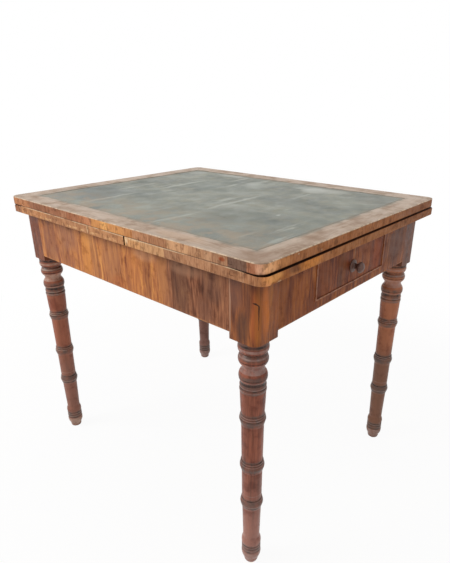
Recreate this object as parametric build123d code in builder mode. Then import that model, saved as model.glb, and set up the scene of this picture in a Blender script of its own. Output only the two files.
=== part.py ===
"""Draw-leaf table, in millimetres.

The origin is on the floor at the middle of the table. +Z is up and +X is the way the
right leaf draws. The drawer is in the +X end.
"""
import os
from math import atan, degrees, hypot

from build123d import *

os.makedirs("parts", exist_ok=True)

# Top
table_height = 740.0
top_length = 864.0
top_width = 696.0
top_thickness = 20.0
top_corner_radius = 20.0
border_width = 54.0
border_thickness = 1.5
leather_thickness = 1.2
clamp_width = 73.0
tongue_length = 10.0
tongue_thickness = 6.4
arris = 0.8

# Clearances
running_gap = 0.3      # between pieces that slide on each other
side_gap = 0.5         # beside a bearer in its notch
glue_gap = 0.1         # round a tenon, a tongue or a screw
leather_gap = 0.2      # round the leather in its border

# Leaves and centre board
leaf_layer = 20.0      # height between the frame and the underside of the top
centre_width = 130.0
leaf_joint = 1.0       # between the centre board and a leaf pushed home
leaf_stand = 3.0       # how far the right leaf stands out of line with the top at rest
clamp_fall = 3.0       # of a leaf clamp's upper face, down to its outer edge
drawn_clearance = 1.0  # between the top's edge and the left leaf drawn right out

# Frame
end_overhang = 27.0
side_overhang = 21.0
block_size = 64.0
block_height = 129.0
block_corner_radius = 17.0
apron_depth = 115.0
side_apron_thickness = 20.0
end_apron_thickness = 18.0
tenon_length = 25.0
tenon_thickness = 8.0
tenon_shoulder = 15.0
middle_rail_thickness = 20.0
middle_rail_depth = 110.0
glue_block_leg = 30.0
glue_block_shoulder = 12.0

# Turning of a leg, from the block down to the floor. Each row is a bulge or hollow half way
# down the stretch, or none for a straight one, then the radius and height where it ends.
turning_start_share = 0.918
turning_shares = [
    (0.928, 0.922, 0.982),
    (0.941, 0.764, 0.950),
    (0.931, 0.775, 0.908),
    (0.678, 0.750, 0.886),
    (0.894, 0.815, 0.845),
    (0.795, 0.795, 0.835),
    (0.832, 0.800, 0.819),
    (0.846, 0.815, 0.803),
    (0.788, 0.740, 0.707),
    (0.800, 0.785, 0.699),
    (0.850, 0.812, 0.681),
    (0.780, 0.728, 0.664),
    (None, 0.695, 0.508),
    (0.750, 0.735, 0.498),
    (0.812, 0.772, 0.473),
    (0.738, 0.684, 0.458),
    (None, 0.664, 0.331),
    (0.712, 0.700, 0.322),
    (0.772, 0.735, 0.299),
    (0.700, 0.638, 0.283),
    (None, 0.572, 0.129),
    (0.673, 0.642, 0.092),
    (0.667, 0.642, 0.079),
    (0.667, 0.642, 0.064),
    (0.676, 0.570, 0.024),
    (0.503, 0.497, 0.013),
    (0.490, 0.448, 0.000),
]

# Bearers
bearer_width = 20.0
bearer_depth = 24.0    # at the outer face of the end apron
bearer_spacing = 8.0   # between a right-hand and a left-hand bearer
bearer_share = 0.30    # of the spare width, left between the drawer and the nearer bearer
bearer_catch = 3.0     # what stays behind the middle rail when a leaf is drawn right out
stop_length = 8.0
stop_width = 10.0
stop_height = 28.0
stop_lift = 5.0        # from a bearer's lower edge

# Pegs under the top
peg_radius = 7.0
peg_length = 45.0
peg_socket = 12.0
peg_offset_x = 36.0
peg_point = 2.0

# Screws
screw_radius = 2.0
screw_head_radius = 4.2
screw_head_height = 3.0
screw_slot = 0.8
screw_bite = 12.0      # into the board that it holds
screw_grip = 12.0      # of the piece that it passes through
leaf_screw_shares = [0.15, 0.52, 0.90]
rail_screw_shares = [-0.86, -0.30, 0.30, 0.86]

# Drawer
drawer_opening_width = 280.0
drawer_opening_height = 85.0
lower_rail_depth = 19.0
bead_thickness = 3.0
bead_proud = 2.0
upper_rail_lap = 12.0
drawer_gap = 0.6
drawer_side_thickness = 8.0
drawer_side_drop = 11.0   # from the top of the front to the top of the sides
drawer_back_drop = 4.0    # from the top of the sides to the top of the back
drawer_back_thickness = 9.0
drawer_bottom_thickness = 6.0
drawer_bottom_lift = 6.0
drawer_groove = 4.0
drawer_space = 50.0       # from the middle of the table to the back of the drawer
lap = 6.0                 # left of the front in front of the dovetails
front_tails = 3
back_tails = 2
tail_width_share = 0.66
tail_neck_share = 0.48
runner_width = 38.0
runner_depth = 14.0
guide_width = 20.0
guide_height = 22.0
guide_gap = 0.8
kicker_width = 44.0
kicker_gap = 3.0
kicker_setback = 2.0      # of its lower part behind the drawer front
drawer_stop_length = 12.0
drawer_stop_height = 8.0
knob_drop = 7.0           # from the middle of the opening to the middle of the knob
knob_rose_radius = 14.0
knob_rose_thickness = 4.0
knob_neck_radius = 6.0
knob_head_radius = 12.0
knob_head_depth = 10.0
knob_dome = 3.5           # of the head's face
knob_projection = 27.0
knob_spigot_radius = 5.0

# Levels and faces worked out from the sizes above
half_length = top_length / 2
half_width = top_width / 2
frame_height = table_height - top_thickness - leaf_layer
frame_x = half_length - end_overhang
frame_y = half_width - side_overhang
apron_low = frame_height - apron_depth
turned_height = frame_height - block_height
leg_x = frame_x - block_size / 2
leg_y = frame_y - block_size / 2
block_x = frame_x - block_size
block_y = frame_y - block_size
end_inner_x = frame_x - end_apron_thickness
side_inner_y = frame_y - side_apron_thickness
half_rail = middle_rail_thickness / 2

top_low = table_height - top_thickness
core_high = table_height - border_thickness
leaf_low = frame_height + running_gap
leaf_high = top_low - running_gap
centre_x = centre_width / 2
leaf_x = centre_x + leaf_joint
clamp_x = half_length - clamp_width

# The leaf rises by the top's thickness while its inner edge passes the edge of the top
leaf_travel = half_length + drawn_clearance - leaf_x
slope = top_thickness / leaf_travel
notch_floor = frame_height - bearer_depth
bearer_inner_x = -half_rail - bearer_catch - leaf_travel
stop_x = end_inner_x - running_gap - leaf_travel

# Each pair of bearers lies between the drawer's opening and the legs, and each peg
# between the outer bearer and the side apron
drawer_y = drawer_opening_width / 2
panel_y = drawer_y + bead_thickness
rail_end_y = panel_y + upper_rail_lap
spare_width = block_y - rail_end_y - 2 * bearer_width - bearer_spacing
bearer_offset = rail_end_y + bearer_share * spare_width + bearer_width / 2
left_bearer_offset = bearer_offset + bearer_width + bearer_spacing
peg_offset_y = (left_bearer_offset + bearer_width / 2 + side_inner_y) / 2

opening_low = apron_low + lower_rail_depth + bead_thickness
opening_high = opening_low + drawer_opening_height
front_y = drawer_y - drawer_gap
front_low = opening_low + drawer_gap
front_high = opening_high - drawer_gap
front_x = end_inner_x
side_y = front_y - drawer_side_thickness
side_high = front_high - drawer_side_drop
back_top = side_high - drawer_back_drop
drawer_back_x = drawer_space + drawer_back_thickness
bottom_low = front_low + drawer_bottom_lift
bottom_high = bottom_low + drawer_bottom_thickness
knob_z = (opening_low + opening_high) / 2 - knob_drop
screw_head_z = frame_height - screw_grip - screw_head_height

made = {}


def block(x_span, y_span, z_span, mode=Mode.ADD):
    """A rectangular piece between three pairs of planes."""
    spans = [sorted(span) for span in (x_span, y_span, z_span)]
    middle = tuple((low + high) / 2 for low, high in spans)
    sizes = [high - low for low, high in spans]
    with Locations(middle):
        Box(*sizes, mode=mode)


def keep(piece, name):
    """Names a finished piece and writes it out."""
    piece.part.label = name
    export_step(piece.part, f"parts/{name}.step")
    made[name] = piece.part


def both(low, high, side):
    """A span on one side of the table's middle."""
    return (side * low, side * high)


def bearer_floor(x):
    """Height of a right-hand notch's sloping floor."""
    return notch_floor - slope * (frame_x - x)


def bearer_low(x):
    return bearer_floor(x) + running_gap


def bearer_high(x):
    """Upper edge of a bearer where it slides below the centre board."""
    return frame_height - running_gap - slope * (centre_x - x)


def cut_notch(side, y_middle, x_span):
    """Cuts the way of one bearer through a rail, open at the rail's top."""
    x_low, x_high = x_span
    with BuildSketch(Plane.XZ.offset(-y_middle)) as way:
        with BuildLine():
            Polyline(
                (side * x_low, bearer_floor(x_low)),
                (side * x_high, bearer_floor(x_high)),
                (side * x_high, frame_height + leaf_layer),
                (side * x_low, frame_height + leaf_layer),
                close=True,
            )
        make_face()
    extrude(way.sketch, amount=bearer_width / 2 + side_gap, both=True, mode=Mode.SUBTRACT)


def rod(x, y, radius, z_span, mode=Mode.ADD):
    """A round piece, or a round hole, along Z between two heights."""
    low, high = sorted(z_span)
    with BuildSketch(Plane.XY.offset(low)) as section:
        with Locations((x, y)):
            Circle(radius)
    extrude(section.sketch, amount=high - low, mode=mode)


def screw(x, y, head_z, tip_z):
    """A slotted screw whose head faces down."""
    rod(x, y, screw_head_radius, (head_z, head_z + screw_head_height))
    rod(x, y, screw_radius, (head_z + screw_head_height, tip_z))
    block(
        (x - screw_slot / 2, x + screw_slot / 2),
        (y - screw_head_radius, y + screw_head_radius),
        (head_z, head_z + screw_slot),
        Mode.SUBTRACT,
    )


def screw_holes(x, y, low, head_z, high):
    """The counterbore from below and the shank's hole above it."""
    bore = screw_head_radius + glue_gap
    rod(x, y, bore, (low, head_z + screw_head_height), Mode.SUBTRACT)
    rod(x, y, screw_radius + glue_gap, (head_z, high), Mode.SUBTRACT)


def end_tenons(side):
    """Heights of the tenons that enter a leg from the end of the table."""
    if side < 0:
        return [(apron_low + tenon_shoulder, notch_floor - tenon_shoulder)]
    rail_shoulder = lower_rail_depth / 4
    return [
        (apron_low + rail_shoulder, apron_low + lower_rail_depth - rail_shoulder),
        (apron_low + lower_rail_depth + tenon_shoulder, notch_floor - tenon_shoulder),
    ]


side_tenon = (apron_low + tenon_shoulder, frame_height - tenon_shoulder)
side_tenon_y = side_inner_y + side_apron_thickness / 2
end_tenon_x = end_inner_x + end_apron_thickness / 2
slack = tenon_thickness / 2 + glue_gap


# Legs: a square block with a rounded outer corner, turned below
for side_x, end_name in ((-1, "left"), (1, "right")):
    for side_y_sign, side_name in ((-1, "front"), (1, "back")):
        middle_x = side_x * leg_x
        middle_y = side_y_sign * leg_y
        radius_unit = block_size / 2
        with BuildPart() as leg:
            with BuildSketch(Plane.XY.offset(turned_height)):
                with Locations((middle_x, middle_y)):
                    Rectangle(block_size, block_size)
                outer_corner = Vector(side_x * frame_x, side_y_sign * frame_y, turned_height)
                fillet(vertices().sort_by_distance(outer_corner)[0], block_corner_radius)
            extrude(amount=block_height)
            with BuildSketch(Plane.XZ.offset(-middle_y)):
                with BuildLine():
                    start = (middle_x + turning_start_share * radius_unit, turned_height)
                    here = start
                    for bulge_share, radius_share, height_share in turning_shares:
                        there = (middle_x + radius_share * radius_unit, height_share * turned_height)
                        if bulge_share is None:
                            Line(here, there)
                        else:
                            crest = middle_x + bulge_share * radius_unit
                            ThreePointArc(here, (crest, (here[1] + there[1]) / 2), there)
                        here = there
                    Polyline(here, (middle_x, 0), (middle_x, turned_height), start)
                make_face()
            revolve(axis=Axis((middle_x, middle_y, 0), (0, 0, 1)))
            block(
                both(block_x, block_x + tenon_length + glue_gap, side_x),
                (side_y_sign * side_tenon_y - slack, side_y_sign * side_tenon_y + slack),
                (side_tenon[0] - glue_gap, side_tenon[1] + glue_gap),
                Mode.SUBTRACT,
            )
            for low, high in end_tenons(side_x):
                block(
                    (side_x * end_tenon_x - slack, side_x * end_tenon_x + slack),
                    both(block_y, block_y + tenon_length + glue_gap, side_y_sign),
                    (low - glue_gap, high + glue_gap),
                    Mode.SUBTRACT,
                )
        keep(leg, f"leg_{side_name}_{end_name}")

# Side aprons, tenoned into the leg blocks
for side, side_name in ((-1, "front"), (1, "back")):
    with BuildPart() as side_apron:
        block((-block_x, block_x), both(side_inner_y, frame_y, side), (apron_low, frame_height))
        block(
            (-block_x - tenon_length, block_x + tenon_length),
            (side * side_tenon_y - tenon_thickness / 2, side * side_tenon_y + tenon_thickness / 2),
            side_tenon,
        )
    keep(side_apron, f"side_apron_{side_name}")

# End apron without a drawer, notched for the left leaf's bearers
with BuildPart() as end_apron:
    block((-frame_x, -end_inner_x), (-block_y, block_y), (apron_low, frame_height))
    for low, high in end_tenons(-1):
        block(
            (-end_tenon_x - tenon_thickness / 2, -end_tenon_x + tenon_thickness / 2),
            (-block_y - tenon_length, block_y + tenon_length),
            (low, high),
        )
    for side in (-1, 1):
        cut_notch(-1, side * left_bearer_offset, (end_inner_x, frame_x))
keep(end_apron, "end_apron_left")

# Drawer end: a lower rail, two panels beside the drawer and a thin rail over it
rail_tenon, panel_tenon = end_tenons(1)
lower_rail_high = apron_low + lower_rail_depth
with BuildPart() as lower_rail:
    block((end_inner_x, frame_x), (-block_y, block_y), (apron_low, lower_rail_high))
    block(
        (end_tenon_x - tenon_thickness / 2, end_tenon_x + tenon_thickness / 2),
        (-block_y - tenon_length, block_y + tenon_length),
        rail_tenon,
    )
keep(lower_rail, "drawer_end_lower_rail")

for side, side_name in ((-1, "front"), (1, "back")):
    with BuildPart() as end_panel:
        block((end_inner_x, frame_x), both(panel_y, block_y, side), (lower_rail_high, frame_height))
        block(
            (end_tenon_x - tenon_thickness / 2, end_tenon_x + tenon_thickness / 2),
            both(block_y, block_y + tenon_length, side),
            panel_tenon,
        )
        block(
            (end_inner_x, frame_x),
            both(panel_y, rail_end_y + glue_gap, side),
            (opening_high - glue_gap, frame_height),
            Mode.SUBTRACT,
        )
        cut_notch(1, side * bearer_offset, (end_inner_x, frame_x))
    keep(end_panel, f"drawer_end_panel_{side_name}")

with BuildPart() as upper_rail:
    block(
        (end_inner_x, frame_x),
        (-rail_end_y, rail_end_y),
        (opening_high, frame_height),
    )
keep(upper_rail, "drawer_end_upper_rail")

with BuildPart() as opening_beads:
    bead_x = (end_inner_x, frame_x + bead_proud)
    for side in (-1, 1):
        block(bead_x, both(drawer_y, panel_y, side), (lower_rail_high, opening_high))
    block(bead_x, (-drawer_y + glue_gap, drawer_y - glue_gap), (lower_rail_high, opening_low))
    proud_edges = edges().group_by(Axis.X)[-1]
    fillet(proud_edges, bead_proud / 4)
keep(opening_beads, "drawer_opening_beads")

# Middle rail, notched for all four bearers
with BuildPart() as middle_rail:
    block(
        (-half_rail, half_rail),
        (-side_inner_y, side_inner_y),
        (frame_height - middle_rail_depth, frame_height),
    )
    for side in (-1, 1):
        cut_notch(1, side * bearer_offset, (-half_rail, half_rail))
        cut_notch(-1, side * left_bearer_offset, (-half_rail, half_rail))
    for share in rail_screw_shares:
        screw_holes(
            0,
            share * side_inner_y,
            frame_height - middle_rail_depth,
            screw_head_z,
            frame_height,
        )
keep(middle_rail, "middle_rail")

# Centre board, fixed on the frame, with holes for the pegs of the top
with BuildPart() as centre_board:
    block((-centre_x, centre_x), (-half_width, half_width), (frame_height, leaf_high))
    chamfer(edges().filter_by(Axis.X), arris)
    for x in (-peg_offset_x, peg_offset_x):
        for y in (-peg_offset_y, peg_offset_y):
            rod(x, y, peg_radius + side_gap, (frame_height, leaf_high), Mode.SUBTRACT)
    for share in rail_screw_shares:
        rod(
            0,
            share * side_inner_y,
            screw_radius + glue_gap,
            (frame_height, frame_height + screw_bite + glue_gap),
            Mode.SUBTRACT,
        )
keep(centre_board, "centre_board")

with BuildPart() as centre_board_screws:
    for share in rail_screw_shares:
        screw(0, share * side_inner_y, screw_head_z, frame_height + screw_bite)
keep(centre_board_screws, "centre_board_screws")

# Glue blocks in the four corners between apron and leg
with BuildPart() as glue_blocks:
    with BuildSketch(Plane.XY.offset(apron_low + glue_block_shoulder)):
        for side_x in (-1, 1):
            for side in (-1, 1):
                with BuildLine():
                    Polyline(
                        (side_x * block_x, side * side_inner_y),
                        (side_x * (block_x - glue_block_leg), side * side_inner_y),
                        (side_x * block_x, side * (side_inner_y - glue_block_leg)),
                        close=True,
                    )
                make_face()
    extrude(amount=apron_depth - glue_block_shoulder - glue_block_shoulder)
keep(glue_blocks, "glue_blocks")

# Drawer runners, guides and kicker
runner_inner_y = drawer_y + guide_width - runner_width
for side, side_name in ((-1, "front"), (1, "back")):
    with BuildPart() as runner:
        block(
            (half_rail, end_inner_x),
            both(runner_inner_y, drawer_y + guide_width, side),
            (opening_low - runner_depth, opening_low),
        )
    keep(runner, f"drawer_runner_{side_name}")
    with BuildPart() as guide:
        block(
            (half_rail, end_inner_x),
            both(front_y + guide_gap, drawer_y + guide_width, side),
            (opening_low, opening_low + guide_height),
        )
    keep(guide, f"drawer_guide_{side_name}")

# Small blocks on the runners that the closed drawer comes up against
with BuildPart() as drawer_stops:
    for side in (-1, 1):
        block(
            (drawer_space - running_gap - drawer_stop_length, drawer_space - running_gap),
            both(runner_inner_y, front_y, side),
            (opening_low, opening_low + drawer_stop_height),
        )
keep(drawer_stops, "drawer_stops")

with BuildPart() as kicker:
    kicker_span = (-kicker_width / 2, kicker_width / 2)
    block((half_rail, end_inner_x), kicker_span, (back_top + kicker_gap, frame_height))
    block(
        (end_inner_x - kicker_setback, end_inner_x),
        kicker_span,
        (back_top + kicker_gap, opening_high),
        Mode.SUBTRACT,
    )
keep(kicker, "drawer_kicker")


def ease(piece_edges, skip_x):
    """Takes the sharp arris off a board's outer edges, but not off its joint."""
    chosen = [edge for edge in piece_edges if abs(abs(edge.center().X) - skip_x) > arris]
    chamfer(chosen, arris)


def clamp_outline(side):
    """An end clamp seen from above, with the table's rounded corners."""
    with BuildSketch(mode=Mode.PRIVATE) as outline:
        RectangleRounded(top_length, top_width, top_corner_radius)
        with Locations((side * (clamp_x + half_length) / 2, 0)):
            Rectangle(clamp_width, top_width, mode=Mode.INTERSECT)
    return outline.sketch


def tongue_span(low, high):
    middle = (low + high) / 2
    return (middle - tongue_thickness / 2, middle + tongue_thickness / 2)


def groove_span(low, high):
    middle = (low + high) / 2
    return (middle - tongue_thickness / 2 - glue_gap, middle + tongue_thickness / 2 + glue_gap)


def make_clamp(side, low, high, stand=0):
    """A board across an end of the top or of a leaf, grooved for its tongue."""
    near_x = clamp_x + stand
    with BuildPart() as clamp:
        with BuildSketch(Plane((side * stand, 0, low))):
            add(clamp_outline(side))
        extrude(amount=high - low)
        block(
            both(near_x, near_x + tongue_length + glue_gap, side),
            (-half_width, half_width),
            groove_span(low, high),
            Mode.SUBTRACT,
        )
        ease(faces().sort_by(Axis.Z)[0].edges(), near_x)
    return clamp


def plane_down(clamp, side, high, stand):
    """Lets a leaf clamp's upper face fall to its outer edge, clear of the top above it."""
    near_x = clamp_x + stand
    far_x = half_length + stand
    with BuildPart(mode=Mode.PRIVATE) as shaving:
        with BuildSketch(Plane.XZ):
            with BuildLine():
                Polyline(
                    (side * near_x, high),
                    (side * far_x, high - clamp_fall),
                    (side * far_x, high),
                    close=True,
                )
            make_face()
        extrude(amount=half_width, both=True)
    with clamp:
        add(shaving.part, mode=Mode.SUBTRACT)
        ease(clamp.faces().sort_by(Axis.Z)[-1].edges(), near_x)


# Leaves with their clamps, bearers, stops and screws
for side, end_name, offset, stop_side, stand in (
    (1, "right", bearer_offset, -1, leaf_stand),
    (-1, "left", left_bearer_offset, 1, 0),
):
    board_x = (leaf_x + stand, clamp_x + stand)
    screw_places = [
        (side * (leaf_x + share * (clamp_x - leaf_x)), lane * offset)
        for share in leaf_screw_shares
        for lane in (-1, 1)
    ]
    with BuildPart() as leaf:
        block(both(*board_x, side), (-half_width, half_width), (leaf_low, leaf_high))
        long_edges = edges().filter_by(Axis.X)
        inner_edges = edges().filter_by(Axis.Y).group_by(Axis.X)[0 if side > 0 else -1]
        chamfer(long_edges + inner_edges, arris)
        block(
            both(board_x[1], board_x[1] + tongue_length, side),
            (-half_width + arris, half_width - arris),
            tongue_span(leaf_low, leaf_high),
        )
        for x, y in screw_places:
            rod(
                x,
                y,
                screw_radius + glue_gap,
                (leaf_low, leaf_low + screw_bite + glue_gap),
                Mode.SUBTRACT,
            )
    keep(leaf, f"{end_name}_leaf")

    leaf_clamp = make_clamp(side, leaf_low, leaf_high, stand)
    plane_down(leaf_clamp, side, leaf_high, stand)
    keep(leaf_clamp, f"{end_name}_leaf_clamp")

    for lane, lane_name in ((-1, "front"), (1, "back")):
        with BuildPart() as bearer:
            with BuildSketch(Plane.XZ.offset(-lane * offset)):
                with BuildLine():
                    Polyline(
                        (side * frame_x, leaf_low),
                        (side * frame_x, bearer_low(frame_x)),
                        (side * bearer_inner_x, bearer_low(bearer_inner_x)),
                        (side * bearer_inner_x, bearer_high(bearer_inner_x)),
                        (side * leaf_x, bearer_high(leaf_x)),
                        (side * leaf_x, leaf_low),
                        close=True,
                    )
                make_face()
            extrude(amount=bearer_width / 2, both=True)
            for x, y in screw_places:
                if y * lane > 0:
                    floor = bearer_low(bearer_inner_x)
                    screw_holes(x, y, floor, screw_head_z, leaf_low)
        keep(bearer, f"{end_name}_bearer_{lane_name}")

    with BuildPart() as stops:
        stop_low = bearer_low(stop_x) + stop_lift
        for lane in (-1, 1):
            face_y = lane * (offset + stop_side * bearer_width / 2)
            block(
                both(stop_x - stop_length, stop_x, side),
                (face_y, face_y + lane * stop_side * stop_width),
                (stop_low, stop_low + stop_height),
            )
    keep(stops, f"{end_name}_leaf_stops")

    with BuildPart() as leaf_screws:
        for x, y in screw_places:
            screw(x, y, screw_head_z, leaf_low + screw_bite)
    keep(leaf_screws, f"{end_name}_leaf_screws")

# Top: core, clamps, crossbanding, leather and pegs
with BuildPart() as top_core:
    block((-clamp_x, clamp_x), (-half_width, half_width), (top_low, core_high))
    chamfer(edges().filter_by(Axis.X).group_by(Axis.Z)[0], arris)
    block(
        (-clamp_x - tongue_length, clamp_x + tongue_length),
        (-half_width + arris, half_width - arris),
        tongue_span(top_low, core_high),
    )
    for x in (-peg_offset_x, peg_offset_x):
        for y in (-peg_offset_y, peg_offset_y):
            rod(x, y, peg_radius, (top_low, top_low + peg_socket), Mode.SUBTRACT)
keep(top_core, "top_core")

for side, end_name in ((-1, "left"), (1, "right")):
    keep(make_clamp(side, top_low, core_high), f"top_clamp_{end_name}")

inner_x = half_length - border_width
inner_y = half_width - border_width
with BuildPart() as border_ring:
    with BuildSketch(Plane.XY.offset(core_high)):
        RectangleRounded(top_length, top_width, top_corner_radius)
        Rectangle(2 * inner_x, 2 * inner_y, mode=Mode.SUBTRACT)
    extrude(amount=border_thickness)
    chamfer(faces().sort_by(Axis.Z)[-1].outer_wire().edges(), arris)

# The four strips meet in mitres. Each is named with the corner where it starts.
turns = [(-1, -1), (1, -1), (1, 1), (-1, 1)]
for index, border_name in enumerate(("front", "right", "back", "left")):
    from_x, from_y = turns[index]
    to_x, to_y = turns[(index + 1) % len(turns)]
    with BuildPart() as border:
        add(border_ring.part)
        with BuildSketch(Plane.XY.offset(core_high)):
            with BuildLine():
                Polyline(
                    (from_x * half_length, from_y * half_width),
                    (to_x * half_length, to_y * half_width),
                    (to_x * inner_x, to_y * inner_y),
                    (from_x * inner_x, from_y * inner_y),
                    close=True,
                )
            make_face()
        extrude(amount=border_thickness, mode=Mode.INTERSECT)
    keep(border, f"top_border_{border_name}")

with BuildPart() as leather:
    with BuildSketch(Plane.XY.offset(core_high)):
        Rectangle(2 * (inner_x - leather_gap), 2 * (inner_y - leather_gap))
    extrude(amount=leather_thickness)
keep(leather, "leather_inset")

with BuildPart() as pegs:
    for x in (-peg_offset_x, peg_offset_x):
        for y in (-peg_offset_y, peg_offset_y):
            rod(x, y, peg_radius, (top_low - peg_length, top_low + peg_socket))
    chamfer(edges().group_by(Axis.Z)[0], peg_point)
keep(pegs, "locating_pegs")


def tails(side, x_root, x_end, z_span, count, mode=Mode.ADD):
    """A row of dovetails at one end of a drawer side, or their sockets."""
    low, high = z_span
    pitch = (high - low) / count
    neck = pitch * tail_neck_share / 2
    end = pitch * tail_width_share / 2
    with BuildSketch(Plane.XZ.offset(-side * (side_y + front_y) / 2)) as row:
        for index in range(count):
            middle = low + pitch * (index + 1 / 2)
            with BuildLine():
                Polyline(
                    (x_root, middle - neck),
                    (x_end, middle - end),
                    (x_end, middle + end),
                    (x_root, middle + neck),
                    close=True,
                )
            make_face()
    extrude(row.sketch, amount=drawer_side_thickness / 2, both=True, mode=mode)


# Drawer, dovetailed at front and back
front_tail_x = frame_x - lap
front_joint = (front_low, side_high)
back_joint = (bottom_high, back_top)
with BuildPart() as drawer_front:
    block((front_x, frame_x), (-front_y, front_y), (front_low, front_high))
    block(
        (front_x, front_x + drawer_groove + glue_gap),
        (-side_y, side_y),
        (bottom_low - glue_gap, bottom_high + glue_gap),
        Mode.SUBTRACT,
    )
    for side in (-1, 1):
        tails(side, front_x, front_tail_x, front_joint, front_tails, Mode.SUBTRACT)
    with BuildSketch(Plane.YZ.offset(front_x)):
        with Locations((0, knob_z)):
            Circle(knob_spigot_radius + glue_gap)
    extrude(amount=end_apron_thickness, mode=Mode.SUBTRACT)
keep(drawer_front, "drawer_front")

for side, side_name in ((-1, "front"), (1, "back")):
    with BuildPart() as drawer_side:
        block((drawer_back_x, front_x), both(side_y, front_y, side), (front_low, side_high))
        block(
            (drawer_space, drawer_back_x),
            both(side_y, front_y, side),
            (front_low, bottom_high - glue_gap),
        )
        tails(side, front_x, front_tail_x, front_joint, front_tails)
        tails(side, drawer_back_x, drawer_space, back_joint, back_tails)
        block(
            (drawer_space, front_x),
            both(side_y, side_y + drawer_groove + glue_gap, side),
            (bottom_low - glue_gap, bottom_high + glue_gap),
            Mode.SUBTRACT,
        )
    keep(drawer_side, f"drawer_side_{side_name}")

with BuildPart() as drawer_back:
    block((drawer_space, drawer_back_x), (-front_y, front_y), (bottom_high, back_top))
    for side in (-1, 1):
        tails(side, drawer_back_x, drawer_space, back_joint, back_tails, Mode.SUBTRACT)
keep(drawer_back, "drawer_back")

with BuildPart() as drawer_bottom:
    block(
        (drawer_space, front_x),
        (-side_y - drawer_groove, side_y + drawer_groove),
        (bottom_low, bottom_high),
    )
    block(
        (front_x, front_x + drawer_groove),
        (-side_y + glue_gap, side_y - glue_gap),
        (bottom_low, bottom_high),
    )
keep(drawer_bottom, "drawer_bottom")

# Turned knob with its spigot through the drawer front: rose, hollow neck and domed head
rose_x = frame_x + knob_rose_thickness
face_x = frame_x + knob_projection - knob_dome
head_x = face_x - knob_head_depth
with BuildPart() as knob:
    with BuildSketch(Plane.XZ):
        with BuildLine():
            rose_rim = (rose_x, knob_z + knob_rose_radius * 3 / 4)
            head_back = (head_x, knob_z + knob_head_radius * 3 / 4)
            head_face = (face_x, knob_z + knob_head_radius * 3 / 4)
            Polyline(
                (front_x, knob_z),
                (front_x, knob_z + knob_spigot_radius),
                (frame_x, knob_z + knob_spigot_radius),
                (frame_x, knob_z + knob_rose_radius),
                (frame_x + knob_rose_thickness / 2, knob_z + knob_rose_radius),
                rose_rim,
            )
            ThreePointArc(rose_rim, ((rose_x + head_x) / 2, knob_z + knob_neck_radius), head_back)
            ThreePointArc(head_back, ((head_x + face_x) / 2, knob_z + knob_head_radius), head_face)
            dome_tip = (face_x + knob_dome, knob_z)
            TangentArc(dome_tip, head_face, tangent=(0, 1))
            Line(dome_tip, (front_x, knob_z))
        make_face()
    revolve(axis=Axis((0, 0, knob_z), (1, 0, 0)))
keep(knob, "drawer_knob")

print("leaf travel, level", round(leaf_travel, 3), "and along the slope")
print(round(hypot(leaf_travel, top_thickness), 3), "at", round(degrees(atan(slope)), 3), "degrees")
print("nodes", len(made))
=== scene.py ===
import math

import bmesh
import bpy
from mathutils import Matrix, Vector, noise


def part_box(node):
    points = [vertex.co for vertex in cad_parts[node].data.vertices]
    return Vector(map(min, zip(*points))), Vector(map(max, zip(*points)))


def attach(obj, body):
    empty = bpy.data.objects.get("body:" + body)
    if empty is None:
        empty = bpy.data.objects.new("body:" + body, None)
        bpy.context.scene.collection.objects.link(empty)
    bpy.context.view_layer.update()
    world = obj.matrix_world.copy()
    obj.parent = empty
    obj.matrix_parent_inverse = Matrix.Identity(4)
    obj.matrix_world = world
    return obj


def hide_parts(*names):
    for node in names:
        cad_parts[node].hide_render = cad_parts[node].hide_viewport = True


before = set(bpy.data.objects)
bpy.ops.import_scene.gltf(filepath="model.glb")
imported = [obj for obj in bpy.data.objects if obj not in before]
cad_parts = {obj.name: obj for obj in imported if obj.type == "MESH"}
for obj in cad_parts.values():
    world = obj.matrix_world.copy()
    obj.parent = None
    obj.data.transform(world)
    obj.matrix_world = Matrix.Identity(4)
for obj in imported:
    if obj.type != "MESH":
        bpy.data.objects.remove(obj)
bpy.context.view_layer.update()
print("frame loaded")


def addObject(name, data):
    thing = bpy.data.objects.new(name, data)
    bpy.context.scene.collection.objects.link(thing)
    return thing


# Camera: stands off the near right corner, a little above the table
view = {
    "place": (0.8886, -0.9168, 0.9920),
    "heading": 42.517,   # degrees to the left of +Y
    "pitch": -23.181,
    "roll": -0.437,
    "lens": 31.22,
    "shift": (-0.0119, 0.0336),
}
cameraData = bpy.data.cameras.new("camera")
cameraData.sensor_width = 36.0
cameraData.lens = view["lens"]
cameraData.shift_x, cameraData.shift_y = view["shift"]
cameraData.clip_start = 0.01
camera = addObject("camera", cameraData)
camera.matrix_world = (
    Matrix.Translation(view["place"])
    @ Matrix.Rotation(math.radians(view["heading"]), 4, "Z")
    @ Matrix.Rotation(math.radians(90 + view["pitch"]), 4, "X")
    @ Matrix.Rotation(math.radians(view["roll"]), 4, "Z")
)
bpy.context.scene.camera = camera
bpy.context.scene.view_settings.view_transform = "Standard"


def linearColour(code):
    channels = [int(code[i:i + 2], 16) / 255 for i in (1, 3, 5)]
    return tuple(c / 12.92 if c <= 0.04045 else ((c + 0.055) / 1.055) ** 2.4 for c in channels) + (1.0,)


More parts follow.
